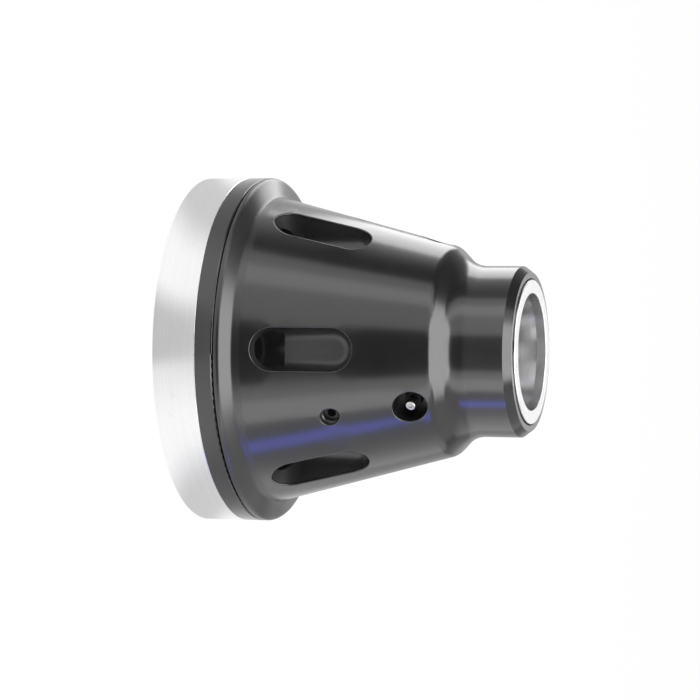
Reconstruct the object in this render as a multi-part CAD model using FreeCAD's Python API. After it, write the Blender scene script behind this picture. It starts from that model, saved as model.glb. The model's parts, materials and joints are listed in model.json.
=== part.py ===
import FreeCAD, Part
import math
import os

# A dead-length collet chuck for a lathe spindle. Lengths are in millimetres.
# The origin is the centre of the back mounting face, and +Z runs along the spindle axis to the nose.
# It is shown open: the closing sleeve lies at its rear stop.

# Spindle side
plate_diameter = 196.85
plate_thickness = 24.5
taper_diameter = 106.375
taper_depth = 14.0
taper_slope = 0.125
bolt_circle_diameter = 133.35
bolt_count = 6
bolt_hole_diameter = 13.5
first_bolt_angle = -90.0
button_pocket_diameter = 20.0
button_pocket_depth = 13.5
button_pocket_angle = 0.0

# Spigot that centres the body on the plate
spigot_diameter = 114.0
spigot_height = 7.0
adapter_seal_section = 2.2
adapter_seal_setback = 2.4

# Body outside
body_length = 164.8
band_height = 10.4
band_edge_blend = 1.2
band_groove_width = 0.8
band_groove_depth = 1.4
flange_thickness = 14.6
flange_edge_blend = 3.3
flange_face_rise = 2.2
cone_root_diameter = 176.4
cone_root_blend = 3.0
cone_half_angle = 15.0
shoulder_distance = 121.8
shoulder_half_angle = 46.2
shoulder_blend = 7.6
neck_blend = 16.2
nose_diameter = 96.3
nose_chamfer_height = 4.5
nose_chamfer_depth = 3.4
edge_break = 0.5

# Bolt pockets in the cone
pocket_width = 23.8
pocket_length = 53.9
pocket_distance = 54.0
pocket_floor_radius = 60.2
pocket_floor_blend = 7.2
head_seat_diameter = 21.0
head_seat_length = 12.5
head_seat_sink = 0.8
pocket_rim_round = 0.6

# Body inside
sleeve_mouth_gap = 0.8
wiper_setback = 2.2
wiper_height = 3.5
wiper_depth = 2.2
grease_groove_width = 7.0
grease_groove_depth = 1.5
sleeve_seal_section = 2.4
sleeve_seal_distance = 37.5

# Closing sleeve
sleeve_diameter = 81.2
sleeve_proud = 1.0
sleeve_rear_height = 27.0
sleeve_thread_step = 1.6
sleeve_travel = 7.0
mouth_diameter = 65.8
mouth_land = 5.5
seat_half_angle = 10.0
collet_clearance_diameter = 58.4
neck_length = 30.0

# Draw connector
connector_flange_wall = 12.2
connector_flange_height = 10.9
connector_hub_wall = 3.0
connector_hub_height = 17.0
draw_thread_diameter = 60.0

# Collet spool
spool_diameter = 68.4
spool_rear_height = 42.0
spool_front_height = 132.0
bar_bore_diameter = 52.4
bar_bore_length = 14.0
collet_thread_diameter = 56.0
collet_thread_length = 26.0
collet_tail_diameter = 58.2
spool_seal_section = 2.0
spool_seal_setback = 6.0
key_pin_diameter = 6.0
key_pin_reach = 1.2
key_pin_setback = 0.4
key_pin_height = 108.0
key_pin_angle = 0.0

# Drive screws, their bushes and the grease nipples, each three round the body
station_count = 3
first_station_angle = -60.0
drive_screw_distance = 67.0
drive_screw_diameter = 10.0
drive_screw_setback = 5.0
drive_screw_socket = 5.0
drive_screw_socket_depth = 5.0
dog_diameter = 7.0
dog_reach = 4.6
drive_bush_diameter = 12.0
nipple_distance = 110.0
counterbore_diameter = 18.4
counterbore_wall = 8.96
nipple_thread_diameter = 8.0
nipple_thread_length = 5.5
nipple_hex = 9.0
nipple_hex_height = 4.5
nipple_neck_diameter = 4.6
nipple_neck_height = 3.2
nipple_head_diameter = 6.5
nipple_head_height = 3.6
nipple_head_flare = 0.8
nipple_tip_diameter = 5.2
nipple_ball_diameter = 2.2
grease_passage_diameter = 3.0

# Screws and dowels between plate and body
joining_circle_diameter = 152.0
joining_screw_diameter = 8.0
joining_screw_length = 30.0
joining_head_diameter = 13.0
joining_head_height = 8.0
joining_head_setback = 0.8
joining_socket = 6.0
joining_socket_depth = 4.0
joining_hole_spare = 2.5
dowel_diameter = 8.0
dowel_length = 20.0
dowel_angles = (120.0, 240.0)

# Screws that lock the connector on the sleeve
lock_screw_diameter = 6.0
lock_screw_setback = 0.8
lock_screw_socket = 3.0
lock_screw_socket_depth = 3.0
lock_screw_count = 3

# Clearances on the radius, and gaps at the stops
running_gap = 0.04
locating_gap = 0.02
thread_gap = 0.05
seal_gap = 0.05
head_gap = 0.5
stop_gap = 0.3
end_gap = 0.2
connector_room_gap = 1.8
hub_passage_gap = 1.0

# Heights and radii that follow
body_back = plate_thickness
body_front = body_back + body_length
spigot_top = plate_thickness + spigot_height
connector_flange_back = spigot_top + stop_gap
connector_front = connector_flange_back + connector_flange_height
connector_back = connector_flange_back - connector_hub_height
room_top = connector_front + sleeve_travel + stop_gap
sleeve_front = body_front + sleeve_proud
drive_screw_height = body_back + drive_screw_distance
nipple_height = body_back + nipple_distance
sleeve_seal_height = body_back + sleeve_seal_distance
spool_seal_height = spool_front_height - spool_seal_setback
sleeve_radius = sleeve_diameter / 2
sleeve_thread_diameter = sleeve_diameter - 2 * sleeve_thread_step
connector_flange_diameter = sleeve_thread_diameter + 2 * connector_flange_wall
connector_hub_diameter = sleeve_thread_diameter + 2 * connector_hub_wall
connector_room_diameter = connector_flange_diameter + 2 * connector_room_gap
hub_passage_diameter = connector_hub_diameter + 2 * hub_passage_gap
sleeve_bore_radius = sleeve_radius + running_gap
counterbore_radius = sleeve_bore_radius + counterbore_wall
spool_radius = spool_diameter / 2
spool_bore_radius = spool_radius + running_gap
bolt_circle_radius = bolt_circle_diameter / 2
joining_circle_radius = joining_circle_diameter / 2
station_angles = [first_station_angle + 360.0 * i / station_count for i in range(station_count)]
bolt_angles = [first_bolt_angle + 360.0 * i / bolt_count for i in range(bolt_count)]
lock_angles = [360.0 * i / lock_screw_count for i in range(lock_screw_count)]
outward = FreeCAD.Vector(1, 0, 0)
upward = FreeCAD.Vector(0, 0, 1)
middle = FreeCAD.Vector(0, 0, 0)


def rounded_face(corners):
    """Flat face in the XZ plane, from corners of radius, height and, where it is rounded, a blend."""
    points = [FreeCAD.Vector(corner[0], 0, corner[1]) for corner in corners]
    blends = [corner[2] if len(corner) > 2 else 0.0 for corner in corners]
    arrivals = []
    departures = []
    edges = []
    for i, point in enumerate(points):
        if blends[i] == 0.0:
            arrivals.append(point)
            departures.append(point)
            continue
        back = (points[i - 1] - point).normalize()
        ahead = (points[(i + 1) % len(points)] - point).normalize()
        half = back.getAngle(ahead) / 2
        reach = blends[i] / math.tan(half)
        bisector = (back + ahead).normalize()
        crown = point + bisector * (blends[i] / math.sin(half) - blends[i])
        arrivals.append(point + back * reach)
        departures.append(point + ahead * reach)
        edges.append(Part.Arc(arrivals[i], crown, departures[i]).toShape())
    for i, start in enumerate(departures):
        end = arrivals[(i + 1) % len(points)]
        edges.append(Part.LineSegment(start, end).toShape())
    return Part.Face(Part.Wire(Part.__sortEdges__(edges)))


def turned(corners):
    """Solid of revolution about the spindle axis."""
    return rounded_face(corners).revolve(middle, upward, 360)


def turned_outward(corners):
    """Small turned solid whose own axis runs outward: corners are of radius and distance from the spindle."""
    return turned(corners).rotate(middle, FreeCAD.Vector(0, 1, 0), 90)


def rod(diameter, start, end, direction=outward):
    """Cylinder about a line through the origin, from start to end along it."""
    return Part.makeCylinder(diameter / 2, end - start, direction * start, direction)


def hexagon(across_flats, start, end, direction=outward):
    """Six-sided prism from start to end along a direction."""
    corner_radius = across_flats / math.sqrt(3)
    side = FreeCAD.Vector(0, 1, 0)
    turn = FreeCAD.Rotation(direction, 60)
    points = [side * corner_radius]
    for _ in range(6):
        points.append(turn.multVec(points[-1]))
    prism = Part.Face(Part.makePolygon(points)).extrude(direction * (end - start))
    prism.translate(direction * start)
    return prism


def placed(shape, angle, height):
    """Copy of a shape that lies along +X, turned about the spindle axis and raised."""
    copy = shape.copy()
    copy.rotate(middle, upward, angle)
    copy.translate(upward * height)
    return copy


def ring_of(shape, angles, height=0.0):
    """Compound of copies of one shape at several angles."""
    return Part.makeCompound([placed(shape, angle, height) for angle in angles])


def standing_rod(diameter, start, end, radius):
    """Cylinder parallel to the spindle axis, at a distance from it along +X."""
    shape = rod(diameter, start, end, upward)
    shape.translate(outward * radius)
    return shape


def cone_radius(height):
    """Radius of the body's cone at a height."""
    root_height = body_back + flange_thickness
    return cone_root_diameter / 2 - (height - root_height) * math.tan(math.radians(cone_half_angle))


def pocket_cutter():
    """Round-ended pocket with a blended floor, and a round seat at its low end for a bolt's head."""
    half_width = pocket_width / 2
    half_straight = (pocket_length - pocket_width) / 2
    low = FreeCAD.Vector(pocket_floor_radius, 0, -half_straight - half_width)
    high = FreeCAD.Vector(pocket_floor_radius, 0, half_straight + half_width)
    left_low = FreeCAD.Vector(pocket_floor_radius, -half_width, -half_straight)
    left_high = FreeCAD.Vector(pocket_floor_radius, -half_width, half_straight)
    right_low = FreeCAD.Vector(pocket_floor_radius, half_width, -half_straight)
    right_high = FreeCAD.Vector(pocket_floor_radius, half_width, half_straight)
    edges = [
        Part.Arc(left_low, low, right_low).toShape(),
        Part.LineSegment(right_low, right_high).toShape(),
        Part.Arc(right_high, high, left_high).toShape(),
        Part.LineSegment(left_high, left_low).toShape(),
    ]
    prism = Part.Face(Part.Wire(edges)).extrude(outward * (cone_radius(body_back) - pocket_floor_radius))
    floor_edges = [edge for edge in prism.Edges if edge.BoundBox.XMax < pocket_floor_radius + edge_break]
    prism = prism.makeFillet(pocket_floor_blend, floor_edges)
    pocket_low = -pocket_length / 2
    seat = standing_rod(
        head_seat_diameter, pocket_low - head_seat_sink, pocket_low + head_seat_length, bolt_circle_radius)
    return prism.fuse(seat)


def rim_edges(body):
    """Edges where the pockets and counterbores break out of the cone."""
    found = []
    for edge in body.Edges:
        start, end = edge.ParameterRange
        spots = [edge.valueAt(start + (end - start) * part) for part in (0.0, 0.25, 0.5, 0.75, 1.0)]
        on_cone = all(abs(math.hypot(p.x, p.y) - cone_radius(p.z)) < locating_gap for p in spots)
        level = max(p.z for p in spots) - min(p.z for p in spots) < locating_gap
        straight = isinstance(edge.Curve, Part.Line)
        if on_cone and not level and not straight:
            found.append(edge)
    return found


def adapter_plate():
    taper_radius = taper_diameter / 2
    groove_low = spigot_top - adapter_seal_setback - adapter_seal_section
    groove_high = spigot_top - adapter_seal_setback
    groove_radius = spigot_diameter / 2 - adapter_seal_section
    plate = turned([
        (taper_radius, 0.0),
        (plate_diameter / 2, 0.0, edge_break),
        (plate_diameter / 2, plate_thickness, edge_break),
        (spigot_diameter / 2, plate_thickness),
        (spigot_diameter / 2, groove_low),
        (groove_radius, groove_low),
        (groove_radius, groove_high),
        (spigot_diameter / 2, groove_high),
        (spigot_diameter / 2, spigot_top, edge_break),
        (hub_passage_diameter / 2, spigot_top, edge_break),
        (hub_passage_diameter / 2, taper_depth),
        (taper_radius - taper_depth * taper_slope, taper_depth),
    ])
    bolt_hole = standing_rod(bolt_hole_diameter, 0.0, plate_thickness, bolt_circle_radius)
    screw_hole = standing_rod(joining_screw_diameter + head_gap, 0.0, plate_thickness, joining_circle_radius)
    head_room = joining_head_setback + joining_head_height
    head_hole = standing_rod(joining_head_diameter + head_gap, 0.0, head_room, joining_circle_radius)
    dowel_hole = standing_rod(
        dowel_diameter + 2 * locating_gap, dowel_low() - end_gap, plate_thickness, joining_circle_radius)
    button_pocket = standing_rod(button_pocket_diameter, 0.0, button_pocket_depth, bolt_circle_radius)
    return plate.cut([
        ring_of(bolt_hole, bolt_angles),
        ring_of(screw_hole, station_angles),
        ring_of(head_hole, station_angles),
        ring_of(dowel_hole, dowel_angles),
        placed(button_pocket, button_pocket_angle, 0.0),
    ])


def dowel_low():
    return plate_thickness - dowel_length / 2


def body_outline():
    """Section of the body: up the outside from the back face, and down the bore."""
    band_top = body_back + band_height
    flange_face = body_back + flange_thickness
    flange_radius = plate_diameter / 2
    cone_foot = flange_face + flange_face_rise
    shoulder_height = body_back + shoulder_distance
    shoulder_radius = cone_radius(shoulder_height)
    nose_radius = nose_diameter / 2
    slope = math.tan(math.radians(shoulder_half_angle))
    neck_height = shoulder_height + (shoulder_radius - nose_radius) / slope
    outside = [
        (flange_radius, body_back, edge_break),
        (flange_radius, band_top, band_edge_blend),
        (flange_radius - band_groove_depth, band_top),
        (flange_radius - band_groove_depth, band_top + band_groove_width),
        (flange_radius, band_top + band_groove_width),
        (flange_radius, flange_face, flange_edge_blend),
        (cone_radius(cone_foot), cone_foot, cone_root_blend),
        (shoulder_radius, shoulder_height, shoulder_blend),
        (nose_radius, neck_height, neck_blend),
        (nose_radius, body_front - nose_chamfer_height, edge_break),
        (nose_radius - nose_chamfer_depth, body_front),
    ]
    wiper_top = body_front - wiper_setback
    wiper_low = wiper_top - wiper_height
    wiper_radius = sleeve_radius + wiper_depth
    groove_top = nipple_height + grease_groove_width / 2
    groove_low = nipple_height - grease_groove_width / 2
    groove_radius = sleeve_bore_radius + grease_groove_depth
    seal_top = sleeve_seal_height + sleeve_seal_section / 2
    seal_low = sleeve_seal_height - sleeve_seal_section / 2
    seal_radius = sleeve_radius + seal_gap + sleeve_seal_section
    room_radius = connector_room_diameter / 2
    recess_radius = spigot_diameter / 2 + locating_gap
    inside = [
        (sleeve_radius + sleeve_mouth_gap, body_front),
        (sleeve_radius + sleeve_mouth_gap, wiper_top),
        (wiper_radius, wiper_top),
        (wiper_radius, wiper_low),
        (sleeve_bore_radius, wiper_low),
        (sleeve_bore_radius, groove_top),
        (groove_radius, groove_top),
        (groove_radius, groove_low),
        (sleeve_bore_radius, groove_low),
        (sleeve_bore_radius, seal_top),
        (seal_radius, seal_top),
        (seal_radius, seal_low),
        (sleeve_bore_radius, seal_low),
        (sleeve_bore_radius, room_top),
        (room_radius, room_top, edge_break),
        (room_radius, spigot_top + end_gap),
        (recess_radius, spigot_top + end_gap),
        (recess_radius, body_back),
    ]
    return outside + inside


def chuck_body():
    body = turned(body_outline())
    pocket_height = body_back + pocket_distance
    pocket_low = pocket_height - pocket_length / 2
    beyond = cone_radius(body_back)
    bolt_hole = standing_rod(bolt_hole_diameter, body_back, pocket_low + head_seat_length, bolt_circle_radius)
    screw_hole = rod(drive_screw_diameter + 2 * thread_gap, spool_radius, beyond)
    counterbore = rod(counterbore_diameter, counterbore_radius, beyond)
    nipple_low = counterbore_radius - nipple_thread_length - end_gap
    nipple_hole = rod(nipple_thread_diameter + 2 * thread_gap, nipple_low, counterbore_radius)
    grease_passage = rod(grease_passage_diameter, spool_radius, nipple_low)
    tapped_top = joining_tip() + joining_hole_spare
    tapped_hole = standing_rod(
        joining_screw_diameter + 2 * thread_gap, body_back, tapped_top, joining_circle_radius)
    dowel_top = dowel_low() + dowel_length + end_gap
    dowel_hole = standing_rod(
        dowel_diameter + 2 * locating_gap, body_back, dowel_top, joining_circle_radius)
    body = body.cut([
        ring_of(pocket_cutter(), bolt_angles, pocket_height),
        ring_of(bolt_hole, bolt_angles),
        ring_of(screw_hole, station_angles, drive_screw_height),
        ring_of(counterbore, station_angles, nipple_height),
        ring_of(nipple_hole, station_angles, nipple_height),
        ring_of(grease_passage, station_angles, nipple_height),
        ring_of(tapped_hole, station_angles),
        ring_of(dowel_hole, dowel_angles),
    ])
    return body.makeFillet(pocket_rim_round, rim_edges(body))


def closing_sleeve():
    mouth_radius = mouth_diameter / 2
    land_low = sleeve_front - mouth_land
    throat_radius = collet_clearance_diameter / 2
    seat_length = (mouth_radius - throat_radius) / math.tan(math.radians(seat_half_angle))
    neck_low = land_low - seat_length - neck_length
    thread_radius = sleeve_thread_diameter / 2
    sleeve = turned([
        (spool_bore_radius, sleeve_rear_height),
        (thread_radius, sleeve_rear_height, edge_break),
        (thread_radius, connector_front),
        (sleeve_radius, connector_front, edge_break),
        (sleeve_radius, sleeve_front, edge_break),
        (mouth_radius, sleeve_front, edge_break),
        (mouth_radius, land_low),
        (throat_radius, land_low - seat_length),
        (throat_radius, neck_low, edge_break),
        (spool_bore_radius, neck_low),
    ])
    return sleeve.cut(ring_of(window_cutter(), station_angles, drive_screw_height))


def window_cutter():
    """Round-ended slot through the sleeve's wall, about a drive bush with the sleeve at its rear stop."""
    width = drive_bush_diameter + 2 * running_gap
    low = -sleeve_travel - stop_gap
    high = stop_gap
    thickness = sleeve_radius
    low_end = rod(width, 0.0, thickness)
    low_end.translate(upward * low)
    high_end = rod(width, 0.0, thickness)
    high_end.translate(upward * high)
    straight = Part.makeBox(thickness, width, high - low, FreeCAD.Vector(0, -width / 2, low))
    slot = low_end.fuse([high_end, straight])
    return slot.cut(rod(spool_diameter / 2, -width, width, upward))


def draw_connector():
    thread_radius = sleeve_thread_diameter / 2 + thread_gap
    connector = turned([
        (draw_thread_diameter / 2, connector_back, edge_break),
        (connector_hub_diameter / 2, connector_back, edge_break),
        (connector_hub_diameter / 2, connector_flange_back),
        (connector_flange_diameter / 2, connector_flange_back, edge_break),
        (connector_flange_diameter / 2, connector_front, edge_break),
        (thread_radius, connector_front, edge_break),
        (thread_radius, sleeve_rear_height),
        (draw_thread_diameter / 2, sleeve_rear_height),
    ])
    hole = rod(
        lock_screw_diameter + 2 * thread_gap, sleeve_thread_diameter / 2, connector_flange_diameter / 2)
    return connector.cut(ring_of(hole, lock_angles, lock_screw_height()))


def lock_screw_height():
    return connector_flange_back + connector_flange_height / 2


def collet_spool():
    tail_radius = collet_tail_diameter / 2
    collet_thread_radius = collet_thread_diameter / 2
    bar_top = spool_rear_height + bar_bore_length
    thread_top = bar_top + collet_thread_length
    groove_radius = spool_radius - spool_seal_section
    groove_low = spool_seal_height - spool_seal_section / 2
    groove_top = spool_seal_height + spool_seal_section / 2
    spool = turned([
        (bar_bore_diameter / 2, spool_rear_height, edge_break),
        (spool_radius, spool_rear_height, edge_break),
        (spool_radius, groove_low),
        (groove_radius, groove_low),
        (groove_radius, groove_top),
        (spool_radius, groove_top),
        (spool_radius, spool_front_height, edge_break),
        (tail_radius, spool_front_height, edge_break),
        (tail_radius, thread_top),
        (collet_thread_radius, thread_top),
        (collet_thread_radius, bar_top),
        (bar_bore_diameter / 2, bar_top),
    ])
    dog_hole = rod(dog_diameter + 2 * locating_gap, 0.0, spool_radius)
    key_hole = rod(key_pin_diameter + 2 * locating_gap, 0.0, spool_radius)
    return spool.cut([
        ring_of(dog_hole, station_angles, drive_screw_height),
        placed(key_hole, key_pin_angle, key_pin_height),
    ])


def drive_screw():
    head = cone_radius(drive_screw_height) - drive_screw_setback
    foot = sleeve_bore_radius + running_gap
    tip = spool_radius - dog_reach
    screw = turned_outward([
        (0.0, tip),
        (dog_diameter / 2, tip, edge_break),
        (dog_diameter / 2, foot),
        (drive_screw_diameter / 2, foot, edge_break),
        (drive_screw_diameter / 2, head, edge_break),
        (0.0, head),
    ])
    return screw.cut(hexagon(drive_screw_socket, head - drive_screw_socket_depth, head))


def drive_bush():
    bush = rod(drive_bush_diameter, spool_radius, sleeve_bore_radius)
    bush = bush.cut(rod(dog_diameter + 2 * locating_gap, 0.0, sleeve_bore_radius))
    inner = rod(2 * (spool_radius + running_gap), -drive_bush_diameter, drive_bush_diameter, upward)
    outer = rod(sleeve_diameter, -drive_bush_diameter, drive_bush_diameter, upward)
    return bush.common(outer).cut(inner)


def grease_nipple():
    hex_top = counterbore_radius + nipple_hex_height
    neck_top = hex_top + nipple_neck_height
    head_top = neck_top + nipple_head_height
    thread_low = counterbore_radius - nipple_thread_length
    stem = turned_outward([
        (grease_passage_diameter / 2, thread_low),
        (nipple_thread_diameter / 2, thread_low, edge_break),
        (nipple_thread_diameter / 2, counterbore_radius),
        (nipple_hex / 2, counterbore_radius),
        (nipple_hex / 2, hex_top),
        (nipple_neck_diameter / 2, hex_top),
        (nipple_neck_diameter / 2, neck_top),
        (nipple_head_diameter / 2, neck_top + nipple_head_flare, edge_break),
        (nipple_tip_diameter / 2, head_top, edge_break),
        (nipple_ball_diameter / 2, head_top),
        (nipple_ball_diameter / 2, hex_top),
        (grease_passage_diameter / 2, hex_top),
    ])
    nut = hexagon(nipple_hex, counterbore_radius, hex_top)
    nut = nut.cut(rod(grease_passage_diameter, counterbore_radius, hex_top))
    ball = Part.makeSphere(nipple_ball_diameter / 2 + locating_gap)
    ball.translate(outward * (head_top - nipple_ball_diameter / 2))
    return stem.fuse([nut, ball])


def front_wiper():
    top = body_front - wiper_setback
    low = top - wiper_height
    lip = sleeve_radius + seal_gap
    rim = sleeve_radius + wiper_depth - locating_gap
    return turned([
        (lip, low + wiper_height / 2),
        (lip + wiper_depth / 2, low),
        (rim, low),
        (rim, top),
        (lip, top),
    ])


def round_seal(ring_radius, section, height):
    return Part.makeTorus(ring_radius, section / 2, upward * height)


def joining_tip():
    return joining_head_setback + joining_head_height + joining_screw_length


def joining_screw():
    head_low = joining_head_setback
    head_top = head_low + joining_head_height
    screw = turned([
        (0.0, head_low),
        (joining_head_diameter / 2, head_low, edge_break),
        (joining_head_diameter / 2, head_top),
        (joining_screw_diameter / 2, head_top),
        (joining_screw_diameter / 2, joining_tip(), edge_break),
        (0.0, joining_tip()),
    ])
    screw = screw.cut(hexagon(joining_socket, head_low, head_low + joining_socket_depth, upward))
    screw.translate(outward * joining_circle_radius)
    return screw


def dowel():
    pin = turned([
        (0.0, dowel_low()),
        (dowel_diameter / 2, dowel_low(), edge_break),
        (dowel_diameter / 2, dowel_low() + dowel_length, edge_break),
        (0.0, dowel_low() + dowel_length),
    ])
    pin.translate(outward * joining_circle_radius)
    return pin


def lock_screw():
    head = connector_flange_diameter / 2 - lock_screw_setback
    tip = sleeve_thread_diameter / 2 + thread_gap
    screw = turned_outward([
        (0.0, tip),
        (lock_screw_diameter / 2, tip, edge_break),
        (lock_screw_diameter / 2, head, edge_break),
        (0.0, head),
    ])
    return screw.cut(hexagon(lock_screw_socket, head - lock_screw_socket_depth, head))


def collet_key():
    tip = collet_tail_diameter / 2 - key_pin_reach
    foot = spool_radius - key_pin_setback
    pin = turned_outward([
        (0.0, tip),
        (key_pin_diameter / 2, tip, edge_break),
        (key_pin_diameter / 2, foot),
        (0.0, foot),
    ])
    return placed(pin, key_pin_angle, key_pin_height)


def all_pieces():
    adapter_seal_height = spigot_top - adapter_seal_setback - adapter_seal_section / 2
    adapter_seal_radius = spigot_diameter / 2 + locating_gap - adapter_seal_section / 2
    sleeve_seal_radius = sleeve_radius + seal_gap + sleeve_seal_section / 2
    spool_seal_radius = spool_radius - spool_seal_section / 2
    pieces = {
        "adapter_plate": adapter_plate(),
        "chuck_body": chuck_body(),
        "closing_sleeve": closing_sleeve(),
        "draw_connector": draw_connector(),
        "collet_spool": collet_spool(),
        "collet_key": collet_key(),
        "front_wiper": front_wiper(),
        "sleeve_seal": round_seal(sleeve_seal_radius, sleeve_seal_section, sleeve_seal_height),
        "spool_seal": round_seal(spool_seal_radius, spool_seal_section, spool_seal_height),
        "adapter_seal": round_seal(adapter_seal_radius, adapter_seal_section, adapter_seal_height),
        "drive_screws": ring_of(drive_screw(), station_angles, drive_screw_height),
        "adapter_screws": ring_of(joining_screw(), station_angles),
        "adapter_dowels": ring_of(dowel(), dowel_angles),
        "lock_screws": ring_of(lock_screw(), lock_angles, lock_screw_height()),
    }
    for number, angle in enumerate(station_angles, start=1):
        pieces[f"drive_bush_{number}"] = placed(drive_bush(), angle, drive_screw_height)
        pieces[f"grease_nipple_{number}"] = placed(grease_nipple(), angle, nipple_height)
    return pieces


os.makedirs("parts", exist_ok=True)
for name, shape in all_pieces().items():
    shape.exportStep(f"parts/{name}.step")
    print(name, "valid" if shape.isValid() else "NOT VALID", len(shape.Solids), round(shape.Volume, 1))
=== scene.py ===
import bmesh
import bpy
import json
import math
from mathutils import Matrix, Vector


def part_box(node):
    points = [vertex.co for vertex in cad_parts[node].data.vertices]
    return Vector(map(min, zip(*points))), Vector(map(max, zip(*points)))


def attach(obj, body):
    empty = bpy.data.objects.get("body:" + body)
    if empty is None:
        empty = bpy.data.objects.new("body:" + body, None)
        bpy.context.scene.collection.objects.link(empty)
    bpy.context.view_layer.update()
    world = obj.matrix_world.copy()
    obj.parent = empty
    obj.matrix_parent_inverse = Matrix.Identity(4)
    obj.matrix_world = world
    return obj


# A collet chuck that stands on its back face, nose up, in metres.
# The CAD model is the fixed frame. This script adds finishes, thread turns, floor, lamps and camera.

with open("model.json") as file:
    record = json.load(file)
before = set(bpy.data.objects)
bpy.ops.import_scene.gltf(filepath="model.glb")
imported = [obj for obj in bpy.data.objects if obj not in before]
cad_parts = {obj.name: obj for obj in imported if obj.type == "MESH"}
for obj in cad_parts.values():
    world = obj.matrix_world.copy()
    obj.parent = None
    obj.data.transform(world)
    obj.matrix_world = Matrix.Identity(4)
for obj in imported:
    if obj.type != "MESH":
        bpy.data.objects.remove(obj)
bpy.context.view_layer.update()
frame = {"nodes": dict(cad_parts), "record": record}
nodes = frame["nodes"]
mounts = {mount["name"]: mount for mount in frame["record"]["mounts"]}

MM = 0.001

# Sizes of the body's outside
CONE_ROOT_RADIUS = 88.2 * MM
CONE_ROOT_HEIGHT = 39.1 * MM
CONE_TOP_HEIGHT = 143.0 * MM
CONE_LIFT = math.radians(15)
CONE_TAPER = math.tan(CONE_LIFT)
POCKET_TOP_HEIGHT = 112.0 * MM
FLANGE_BAND_TOP = 35.7 * MM
FLANGE_FRONT_REACH = 8.0 * MM
FLANGE_LIFT = math.radians(46)
NIPPLE_NECK_RADIUS = 54.2 * MM
STATION_ANGLES = (-60, 60, 180)

# Sizes of the sleeve's mouth
MOUTH_RADIUS = 32.9 * MM
MOUTH_LAND = 5.5 * MM

# Sizes read from the frame
sleeve_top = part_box("closing_sleeve")[1][2]
screws_low, screws_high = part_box("drive_screws")
screw_head_radius = -screws_low[0]
screw_height = (screws_low[2] + screws_high[2]) / 2
screw_radius = (screws_high[2] - screws_low[2]) / 2

# Width over which one finish turns into the next
BLEND = 2.0 * MM

# Settings of the finishes
METAL = 1.0
NOT_METAL = 0.0
BODY_GLOSS = {"Specular IOR Level": 0.9, "IOR": 1.6}
SCREW_GLOSS = {"Specular IOR Level": 0.8, "IOR": 1.6}


class Value:
    """A socket of a material's nodes. Arithmetic on it adds Math nodes."""

    def __init__(self, shader, socket):
        self.shader = shader
        self.socket = socket

    def maths(self, operation, *others):
        """Math node on this value, followed by the other ones."""
        return self.shader.add("ShaderNodeMath", {"operation": operation}, [self, *others])

    def flipped(self, operation, other):
        """Math node on another value, followed by this one."""
        return self.shader.add("ShaderNodeMath", {"operation": operation}, [other, self])

    def __add__(self, other):
        return self.maths("ADD", other)

    def __sub__(self, other):
        return self.maths("SUBTRACT", other)

    def __mul__(self, other):
        return self.maths("MULTIPLY", other)

    def __truediv__(self, other):
        return self.maths("DIVIDE", other)

    def __rsub__(self, other):
        return self.flipped("SUBTRACT", other)

    def __rtruediv__(self, other):
        return self.flipped("DIVIDE", other)

    __radd__ = __add__
    __rmul__ = __mul__

    def at_most(self, other):
        return self.maths("MINIMUM", other)

    def root(self):
        return self.maths("SQRT")

    def step(self, low, high):
        """0 below low and 1 above high, with a smooth rise between them."""
        inputs = {"Value": self, "From Min": low, "From Max": high}
        return self.shader.add("ShaderNodeMapRange", {"interpolation_type": "SMOOTHSTEP"}, inputs)


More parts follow.
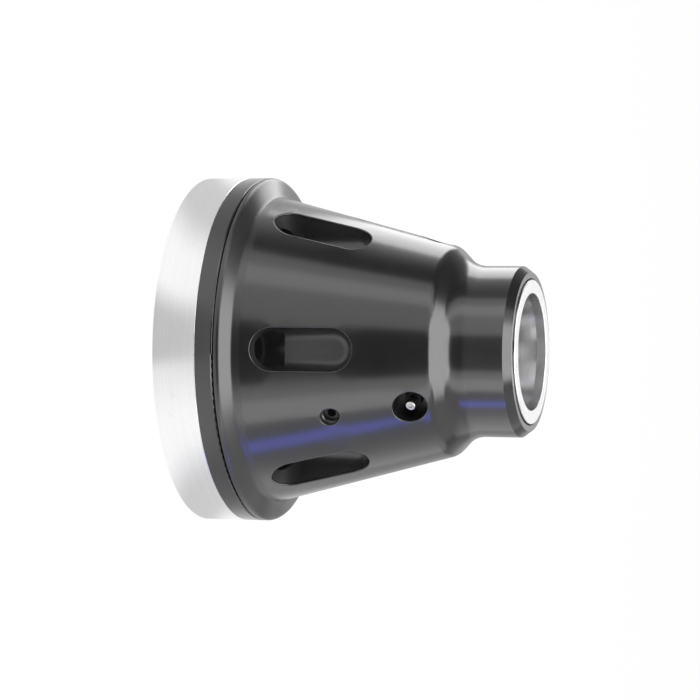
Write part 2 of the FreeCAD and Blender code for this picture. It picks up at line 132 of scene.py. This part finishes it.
class Shader:
    """The nodes of one material, or of the world."""

    def __init__(self, owner):
        owner.use_nodes = True
        self.owner = owner
        self.tree = owner.node_tree
        self.tree.nodes.clear()

    def add(self, kind, settings=None, inputs=None, output=0):
        """Adds a node, sets it up, fills its sockets with numbers or links, and returns an output."""
        node = self.tree.nodes.new(kind)
        for name, value in (settings or {}).items():
            setattr(node, name, value)
        pairs = inputs.items() if isinstance(inputs, dict) else enumerate(inputs or [])
        for key, value in pairs:
            if isinstance(value, Value):
                self.tree.links.new(value.socket, node.inputs[key])
            else:
                node.inputs[key].default_value = value
        return Value(self, node.outputs[output]) if len(node.outputs) else node

    def place(self):
        return self.add("ShaderNodeNewGeometry", output="Position")

    def split(self, vector):
        return [self.add("ShaderNodeSeparateXYZ", {}, [vector], output=axis) for axis in "XYZ"]

    def join(self, x, y, z):
        return self.add("ShaderNodeCombineXYZ", {}, [x, y, z])

    def turned_place(self):
        """A point's place, its three parts, and its distance from the spindle axis."""
        place = self.place()
        x, y, z = self.split(place)
        return place, x, y, z, (x * x + y * y).root()

    def azimuth(self, across, along):
        """Angle of a point round the spindle axis, in radians."""
        return self.add("ShaderNodeMath", {"operation": "ARCTAN2"}, [across, along])

    def noise(self, vector, scale, detail, roughness):
        inputs = {"Vector": vector, "Scale": scale, "Detail": detail, "Roughness": roughness}
        return self.add("ShaderNodeTexNoise", {"noise_dimensions": "3D"}, inputs, output="Fac")

    def mix(self, factor, first, second):
        """Blend of two colours by a factor."""
        inputs = {0: factor, 6: first, 7: second}
        return self.add("ShaderNodeMix", {"data_type": "RGBA"}, inputs, output=2)

    def edge(self, radius):
        """1 on the outer edges of a piece, and 0 on its faces."""
        soft = self.add("ShaderNodeBevel", {"samples": 6}, {"Radius": radius})
        sharp = self.add("ShaderNodeNewGeometry", output="Normal")
        product = {"operation": "DOT_PRODUCT"}
        alike = self.add("ShaderNodeVectorMath", product, [soft, sharp], output="Value")
        return (1 - alike).step(0.01, 0.16)

    def turned_normal(self, mask, x, y, radius, lift):
        """Normal of a turned surface that faces outward and is lifted by an angle, where a mask is 1."""
        level = lift.maths("COSINE")
        turned = self.join(x / radius * level, y / radius * level, lift.maths("SINE"))
        own = self.add("ShaderNodeNewGeometry", output="Normal")
        inputs = {0: mask, 4: own, 5: turned}
        return self.add("ShaderNodeMix", {"data_type": "VECTOR"}, inputs, output=1)

    def bump(self, height, distance, around=None):
        """Normal of fine relief, about the piece's own normal or a given one."""
        inputs = {"Height": height, "Distance": distance}
        if around is not None:
            inputs["Normal"] = around
        return self.add("ShaderNodeBump", {}, inputs)

    def finish(self, colour, rough, metallic, normal, more=None):
        """Ends the material in a principled surface, and returns the material."""
        inputs = {"Base Color": colour, "Roughness": rough, "Metallic": metallic, "Normal": normal}
        inputs.update(more or {})
        surface = self.add("ShaderNodeBsdfPrincipled", {}, inputs)
        self.add("ShaderNodeOutputMaterial", {}, {"Surface": surface})
        return self.owner


def material_shader(name):
    return Shader(bpy.data.materials.new(name))


def grey(level, warmth=0.0):
    """Grey of a level, with more red and less blue by its warmth."""
    return (level * (1 + warmth), level, level * (1 - warmth), 1.0)


def turned_marks(shader, radius, x, y, z, pitch):
    """Fine grooves that run round the spindle axis: noise stretched along the turn."""
    stretch = 0.35
    path = shader.join(shader.azimuth(y, x) * stretch, radius / pitch, z / pitch)
    return shader.noise(path, scale=1.0, detail=3.0, roughness=0.6)


def black_oxide():
    """Turned steel with satin black oxide. The milled pockets and holes are duller, the pocket floors are
    painted lighter as a stand-in for the light they catch, and edges are lighter, partly by rubbed wear and
    partly as a painted highlight.

    The flange's front is shaded as one smooth round from its band to the cone.
    """
    shader = material_shader("black_oxide_steel")
    place, x, y, z, radius = shader.turned_place()
    marks = turned_marks(shader, radius, x, y, z, pitch=0.35 * MM)
    cloud = shader.noise(place, scale=22.0, detail=4.0, roughness=0.6)
    fine = shader.noise(place, scale=900.0, detail=2.0, roughness=0.5)
    rubbed_and_highlit_edge = shader.edge(0.7 * MM) * (cloud * 1.6).at_most(1.0)

    cone = CONE_ROOT_RADIUS - (z - CONE_ROOT_HEIGHT) * CONE_TAPER
    milled = (cone - radius).step(0.5 * MM, 2.0 * MM) * (CONE_TOP_HEIGHT - z).step(0.0, BLEND)
    milled = milled * (z - CONE_ROOT_HEIGHT).step(0.0, BLEND)
    # Pocket floors are painted lighter than the other milled holes, as a stand-in for the light they catch.
    painted_lit_pocket = (POCKET_TOP_HEIGHT - z).step(0.0, BLEND)
    turned_tone = shader.mix(cloud.step(0.3, 0.75), grey(0.009), grey(0.014, warmth=-0.03))
    milled_and_lit_pocket_tone = shader.mix(painted_lit_pocket, grey(0.007), grey(0.03))
    tone = shader.mix(milled, turned_tone, milled_and_lit_pocket_tone)
    # Edges are lighter: partly rubbed wear, partly a painted highlight along them.
    colour = shader.mix(rubbed_and_highlit_edge * 0.5, tone, grey(0.12))

    flange_front = (z - FLANGE_BAND_TOP).step(0.0, 0.3 * MM)
    flange_front = flange_front * (CONE_ROOT_HEIGHT + FLANGE_FRONT_REACH - z).step(0.0, BLEND)
    flange_front = flange_front * (radius - CONE_ROOT_RADIUS + FLANGE_FRONT_REACH).step(0.0, BLEND)
    rounded = (z - FLANGE_BAND_TOP).step(0.5 * MM, 3.5 * MM) * FLANGE_LIFT
    levelled = (z - CONE_ROOT_HEIGHT).step(1.9 * MM, 4.1 * MM) * (FLANGE_LIFT - CONE_LIFT)
    around = shader.turned_normal(flange_front, x, y, radius, rounded - levelled)

    rough = 0.155 + cloud * 0.05 + (fine - 0.5) * 0.03 + marks * 0.03 + rubbed_and_highlit_edge * 0.08 + milled * 0.12
    rough = rough + flange_front * 0.1
    normal = shader.bump(marks * (1 - milled) + fine * milled, 0.006 * MM, around)
    return shader.finish(colour, rough, NOT_METAL, normal, BODY_GLOSS)


def ground_steel():
    """Bright plate, ground round its rim and across its faces, with faint stains and scratches."""
    shader = material_shader("ground_steel")
    place, x, y, z, radius = shader.turned_place()
    marks = turned_marks(shader, radius, x, y, z, pitch=0.22 * MM)
    cloud = shader.noise(place, scale=14.0, detail=3.0, roughness=0.55)
    stain = shader.noise(place, scale=60.0, detail=5.0, roughness=0.65).step(0.62, 0.85)
    stretched = shader.join(x * 40.0, y * 40.0, z * 2600.0)
    scratch = shader.noise(stretched, scale=1.0, detail=2.0, roughness=0.5).step(0.68, 0.8)
    tone = shader.mix(marks.step(0.25, 0.8), grey(0.88), grey(0.97))
    tone = shader.mix(stain * 0.2, tone, grey(0.58, warmth=0.02))
    colour = shader.mix(scratch * 0.25, tone, grey(0.62))
    rough = 0.20 + marks * 0.10 + cloud * 0.06 + stain * 0.08
    return shader.finish(colour, rough, METAL, shader.bump(marks, 0.008 * MM))


def hardened_steel():
    """Hardened sleeve. Its face is ground bright and its bore is darker, and the land at the mouth gets a
    painted highlight over its shade.
    """
    shader = material_shader("hardened_steel")
    place, x, y, z, radius = shader.turned_place()
    marks = turned_marks(shader, radius, x, y, z, pitch=0.18 * MM)
    cloud = shader.noise(place, scale=30.0, detail=3.0, roughness=0.55)
    border = 0.5 * MM
    bore = 1 - radius.step(MOUTH_RADIUS, MOUTH_RADIUS + border)
    # The land at the mouth is painted bright, a painted highlight over the shade it falls in.
    land_highlight = (z - sleeve_top + MOUTH_LAND).step(0.0, border) * bore
    face = shader.mix(marks.step(0.25, 0.8), grey(0.72), grey(0.82))
    seat = shader.mix(marks.step(0.25, 0.8), grey(0.60), grey(0.70))
    colour = shader.mix(bore, face, shader.mix(land_highlight, seat, grey(0.80)))
    rough = 0.20 + marks * 0.08 + cloud * 0.05 - bore * 0.02
    return shader.finish(colour, rough, METAL, shader.bump(marks, 0.005 * MM))


def turned_steel():
    """Plain turned steel of the inner pieces, with coarser marks and a little oil film."""
    shader = material_shader("turned_steel")
    place, x, y, z, radius = shader.turned_place()
    marks = turned_marks(shader, radius, x, y, z, pitch=0.45 * MM)
    film = shader.noise(place, scale=40.0, detail=4.0, roughness=0.6).step(0.5, 0.8)
    tone = shader.mix(marks.step(0.2, 0.8), grey(0.44), grey(0.60))
    colour = shader.mix(film * 0.3, tone, grey(0.34, warmth=0.05))
    return shader.finish(colour, 0.30 + marks * 0.15, METAL, shader.bump(marks, 0.012 * MM))


def pin_steel():
    """Ground pins and bushes."""
    shader = material_shader("pin_steel")
    place = shader.place()
    grain = shader.noise(place, scale=1200.0, detail=3.0, roughness=0.6)
    cloud = shader.noise(place, scale=120.0, detail=2.0, roughness=0.5)
    colour = shader.mix(cloud, grey(0.55), grey(0.70))
    return shader.finish(colour, 0.2 + grain * 0.12, METAL, shader.bump(grain, 0.004 * MM))


def plated_steel():
    """Zinc plated nipples. Their heads keep the bright plating, and their hexagons, deep in the
    counterbores, get a dark painted shade.
    """
    shader = material_shader("plated_steel")
    place, x, y, z, radius = shader.turned_place()
    unshaded_head = radius.step(NIPPLE_NECK_RADIUS, NIPPLE_NECK_RADIUS + 1.5 * MM)
    grain = shader.noise(place, scale=900.0, detail=3.0, roughness=0.6)
    cloud = shader.noise(place, scale=260.0, detail=3.0, roughness=0.6)
    bright = shader.mix(cloud.step(0.35, 0.7), grey(0.70, warmth=0.02), grey(0.90, warmth=0.01))
    # The hexagons below the head get a dark painted shade, as they sit deep in the counterbores.
    colour = shader.mix(unshaded_head, grey(0.03, warmth=0.1), bright)
    rough = 0.45 - unshaded_head * 0.3 + grain * 0.12
    return shader.finish(colour, rough, METAL, shader.bump(grain, 0.01 * MM))


def screw_black():
    """Black screws, with rubbed edges round their sockets."""
    shader = material_shader("screw_black")
    place = shader.place()
    grain = shader.noise(place, scale=1500.0, detail=3.0, roughness=0.6)
    cloud = shader.noise(place, scale=300.0, detail=3.0, roughness=0.6)
    tone = shader.mix(cloud, grey(0.016), grey(0.034))
    colour = shader.mix(shader.edge(0.3 * MM) * 0.6, tone, grey(0.22))
    normal = shader.bump(grain, 0.012 * MM)
    return shader.finish(colour, 0.34 + cloud * 0.12, NOT_METAL, normal, SCREW_GLOSS)


def seal_rubber(name, level):
    """Matt black rubber with a fine grain."""
    shader = material_shader(name)
    grain = shader.noise(shader.place(), scale=1600.0, detail=4.0, roughness=0.65)
    colour = shader.mix(grain, grey(level * 0.8), grey(level * 1.3))
    return shader.finish(colour, 0.55 + grain * 0.2, NOT_METAL, shader.bump(grain, 0.02 * MM))


def finish_nodes():
    """Gives each CAD node the finish that the record's slot names."""
    finishes = {
        "black_oxide": black_oxide(), "ground_steel": ground_steel(), "hardened_steel": hardened_steel(),
        "turned_steel": turned_steel(), "pin_steel": pin_steel(), "plated_steel": plated_steel(),
        "screw_black": screw_black(), "seal_rubber": seal_rubber("seal_rubber", level=0.02),
        "wiper_rubber": seal_rubber("wiper_rubber", level=0.014)}
    for part in frame["record"]["subparts"]:
        node = nodes[part["node"]]
        node.data.materials.clear()
        node.data.materials.append(finishes[part["material_slot"]])
    return finishes


# Thread turns. The ridge's half widths are parts of the pitch.
TURN_SEGMENTS = 72
FADE_SEGMENTS = TURN_SEGMENTS / 4
RIDGE_FOOT = 0.45
RIDGE_CREST = 0.06
BORE_THREAD = {"pitch": 2.0 * MM, "depth": 0.9 * MM}
BORE_THREAD_INSET = 1.2 * MM
SCREW_THREAD = {"pitch": 1.5 * MM, "depth": 0.6 * MM}
SCREW_CLEARANCE = 0.05 * MM
SCREW_HEAD_GAP = 0.5 * MM
SCREW_MOUTH_GAP = 1.6 * MM


def thread_turns(name, radius, start, end, pitch, depth, finish, slot):
    """Helical ridge that stands inward from the wall of a bore along +Z, as a tapped thread does."""
    steps = int((end - start) / pitch * TURN_SEGMENTS)
    mesh = bmesh.new()
    rows = []
    for i in range(steps + 1):
        angle = 2 * math.pi * i / TURN_SEGMENTS
        middle = start + pitch * i / TURN_SEGMENTS
        crest = radius - depth * min(1.0, i / FADE_SEGMENTS, (steps - i) / FADE_SEGMENTS)
        section = ((radius, -RIDGE_FOOT), (crest, -RIDGE_CREST), (crest, RIDGE_CREST), (radius, RIDGE_FOOT))
        rows.append([
            mesh.verts.new((r * math.cos(angle), r * math.sin(angle), middle + offset * pitch))
            for r, offset in section])
    for row, following in zip(rows, rows[1:]):
        for k in range(len(row) - 1):
            mesh.faces.new((row[k], row[k + 1], following[k + 1], following[k]))
    data = bpy.data.meshes.new(name)
    mesh.to_mesh(data)
    mesh.free()
    data.materials.append(finish)
    piece = bpy.data.objects.new(name, data)
    bpy.context.scene.collection.objects.link(piece)
    return piece


def bore_thread(mount_name, finishes):
    """Turns of a threaded bore on the spindle axis, which the record names as a mount."""
    mount = mounts[mount_name]
    half = mount["dims"]["length_mm"] * MM / 2
    middle = mount["pos_m"][2]
    return thread_turns(
        f"{mount_name}_turns", mount["dims"]["r_mm"] * MM,
        middle - half + BORE_THREAD_INSET, middle + half - BORE_THREAD_INSET,
        **BORE_THREAD, finish=finishes["turned_steel"], slot="turned_steel")


def tapped_threads(finishes):
    """Threads for the collet's tail, the draw tube and the three drive screws."""
    piece = bore_thread("collet_thread", finishes)
    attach(piece, "chuck")
    piece = bore_thread("draw_thread", finishes)
    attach(piece, "sleeve")
    mouth = CONE_ROOT_RADIUS - (screw_height - CONE_ROOT_HEIGHT) * CONE_TAPER
    for number, angle in enumerate(STATION_ANGLES, start=1):
        piece = thread_turns(
            f"screw_thread_turns_{number}", screw_radius + SCREW_CLEARANCE,
            screw_head_radius + SCREW_HEAD_GAP, mouth - SCREW_MOUTH_GAP,
            **SCREW_THREAD, finish=finishes["black_oxide"], slot="black_oxide")
        turn = Matrix.Rotation(math.radians(angle), 4, "Z") @ Matrix.Rotation(math.radians(90), 4, "Y")
        piece.data.transform(Matrix.Translation((0, 0, screw_height)) @ turn)
        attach(piece, "chuck")


# Camera. Its tilt and roll are in radians.
PHOTO_WIDTH = 700
FOCAL_PIXELS = 3000
SENSOR_WIDTH = 36.0
NEAR_CLIP = 0.05
FAR_CLIP = 20.0
CAMERA_DISTANCE = 1714.21 * MM
CAMERA_TILT = 0.300246
CAMERA_ROLL = -0.010322
TARGET = Vector((-0.0408, 0.0, 83.144)) * MM


def photo_camera():
    """Camera that sees the chuck lying on its side, as the photograph does: the nose points right."""
    data = bpy.data.cameras.new("photo_camera")
    data.sensor_width = SENSOR_WIDTH
    data.lens = FOCAL_PIXELS / PHOTO_WIDTH * SENSOR_WIDTH
    data.clip_start = NEAR_CLIP
    data.clip_end = FAR_CLIP
    camera = bpy.data.objects.new("photo_camera", data)
    bpy.context.scene.collection.objects.link(camera)
    back = Vector((0, -math.cos(CAMERA_TILT), math.sin(CAMERA_TILT)))
    nose_way = Vector((0, math.sin(CAMERA_TILT), math.cos(CAMERA_TILT)))
    down_way = Vector((1, 0, 0))
    right = nose_way * math.cos(CAMERA_ROLL) + down_way * math.sin(CAMERA_ROLL)
    down = down_way * math.cos(CAMERA_ROLL) - nose_way * math.sin(CAMERA_ROLL)
    turn = Matrix((right, -down, back)).transposed().to_4x4()
    camera.matrix_world = Matrix.Translation(TARGET + back * CAMERA_DISTANCE) @ turn
    bpy.context.scene.camera = camera


# Lamps stand round the spindle axis. Azimuths are in degrees from the camera's side, and left is -X.
PANEL_DISTANCE = 0.45
PANEL_TALL = 0.75
WATTS_PER_LEVEL = math.pi
WHITE = (1, 1, 1)
VIOLET = (0.10, 0.13, 1.0)


def lamp_panel(name, width, tall, level, colour=WHITE):
    """Rectangular lamp of an even brightness, where a level of 1 is white."""
    data = bpy.data.lights.new(name, "AREA")
    data.shape = "RECTANGLE"
    data.size = width
    data.size_y = tall
    data.energy = WATTS_PER_LEVEL * level * width * tall
    data.color = colour
    lamp = bpy.data.objects.new(name, data)
    lamp.visible_camera = False
    bpy.context.scene.collection.objects.link(lamp)
    return lamp


def upright_panel(name, start, end, level, colour=WHITE, distance=PANEL_DISTANCE, lean=0.0,
                  tall=PANEL_TALL):
    """Panel that stands on the floor and spans a range of azimuths, facing the spindle axis."""
    half = math.radians(end - start) / 2
    lamp = lamp_panel(name, 2 * distance * math.tan(half), tall, level, colour)
    angle = math.radians((start + end) / 2)
    way = Vector((math.sin(angle), -math.cos(angle), 0))
    across = Vector((way.y, -way.x, 0))
    facing = Matrix((-across, Vector((0, 0, 1)), way)).transposed().to_4x4()
    place = Matrix.Translation(way * distance + Vector((0, 0, tall / 2)))
    lamp.matrix_world = place @ facing @ Matrix.Rotation(math.radians(lean), 4, "Z")


def high_panel(name, azimuth, elevation, distance, width, tall, level):
    """Panel above the chuck that faces it."""
    lamp = lamp_panel(name, width, tall, level)
    turn = math.radians(azimuth)
    rise = math.radians(elevation)
    way = Vector((math.sin(turn) * math.cos(rise), -math.cos(turn) * math.cos(rise), math.sin(rise)))
    facing = way.to_track_quat("Z", "Y").to_matrix().to_4x4()
    lamp.matrix_world = Matrix.Translation(TARGET + way * distance) @ facing


def studio():
    """Soft lamps that stand round the chuck, and a pale surround."""
    upright_panel("left_panel", start=-72, end=-20, level=0.80)
    upright_panel("left_strip", start=-60, end=-46, level=0.60)
    upright_panel("right_panel", start=25, end=52, level=0.95)
    upright_panel("right_strip", start=36, end=52, level=0.65)
    upright_panel("right_dim_panel", start=52, end=130, level=0.50)
    upright_panel("violet_strip", start=66, end=75, level=2.4, colour=VIOLET, lean=6.0, tall=0.27)
    upright_panel("rear_left_panel", start=-150, end=-112, level=2.6, distance=0.5, tall=0.2)
    high_panel("top_panel", azimuth=0, elevation=98, distance=1.2, width=1.4, tall=2.7, level=3.05)
    world = bpy.data.worlds.new("surround")
    bpy.context.scene.world = world
    shade_world(world)


# What reflections see of the surround and of the floor, where a level of 1 is white
FRONT_LEVEL = 0.07
BACK_LEVEL = 1.03
FLOOR_LEVEL = 1.03
DARK_FRONT_DEPTH = 0.46
DARK_SIDES_DEPTH = 0.4

# The floor lies just below the back face.
FLOOR_RADIUS = 6.0
FLOOR_HEIGHT = -0.2 * MM
FLOOR_CORNERS = 96


def shade_world(world):
    """White to the camera. For reflections it is white behind the chuck and dim on the camera's side."""
    shader = Shader(world)
    x, y, z = shader.split(shader.add("ShaderNodeTexCoord", output="Generated"))
    dim_right = x.step(0.1, 0.6) * 0.7
    dark_left = (0 - x).step(0.3, 0.5) * z.step(0.02, 0.12) * 0.85
    behind = y.step(-0.1, 0.6) * (0.5 - z).step(0.0, 0.22) * (1 - dim_right)
    level = FRONT_LEVEL + behind * (1 - dark_left) * BACK_LEVEL
    seen = shader.add("ShaderNodeLightPath", output="Is Camera Ray")
    inputs = {"Color": grey(1.0), "Strength": seen + (1 - seen) * level}
    background = shader.add("ShaderNodeBackground", {}, inputs)
    shader.add("ShaderNodeOutputWorld", {}, {"Surface": background})


def pale_floor():
    """White floor, which keeps a faint shadow of the chuck.

    In reflections it has darker sectors, whose azimuths are in radians from the camera's side.
    """
    bpy.ops.mesh.primitive_circle_add(
        vertices=FLOOR_CORNERS, radius=FLOOR_RADIUS, fill_type="NGON", location=(0, 0, FLOOR_HEIGHT))
    floor = bpy.context.object
    floor.name = "floor"
    shader = material_shader("floor_white")
    seen = shader.add("ShaderNodeLightPath", output="Is Camera Ray")
    mirrored = shader.add("ShaderNodeLightPath", output="Is Glossy Ray")
    clear = shader.add("ShaderNodeLightPath", output="Is Transmission Ray")
    place, x, y, z, radius = shader.turned_place()
    azimuth = shader.azimuth(x, 0 - y)
    aside = azimuth.maths("ABSOLUTE")
    dark_middle = (0.15 - azimuth).step(0.0, 0.12) * 0.6 + (0.5 - azimuth).step(0.0, 0.5) * 0.4
    dark_front = (azimuth + 0.45).step(0.0, 0.24) * dark_middle * (1 - radius.step(0.165, 0.2) * 0.4)
    dark_sides = aside.step(0.68, 1.15) * (1.9 - aside).step(0.0, 0.4)
    far_dimming = radius.step(0.14, 0.5) * (0.35 + (0.2 - y).step(0.0, 0.6) * 0.4)
    near_level = FLOOR_LEVEL - dark_front * DARK_FRONT_DEPTH - dark_sides * DARK_SIDES_DEPTH
    mirror_level = near_level * (1 - far_dimming)
    inputs = {"Color": grey(1.0), "Strength": seen + (1 - seen) * mirror_level}
    white = shader.add("ShaderNodeEmission", {}, inputs)
    matt = shader.add("ShaderNodeBsdfDiffuse", {}, {"Color": grey(0.8)})
    factor = (seen + mirrored + clear).at_most(1.0) * 0.97
    surface = shader.add("ShaderNodeMixShader", {}, [factor, matt, white])
    shader.add("ShaderNodeOutputMaterial", {}, {"Surface": surface})
    floor.data.materials.append(shader.owner)


finishes = finish_nodes()
tapped_threads(finishes)
photo_camera()
studio()
pale_floor()
bpy.context.scene.view_settings.view_transform = "Standard"
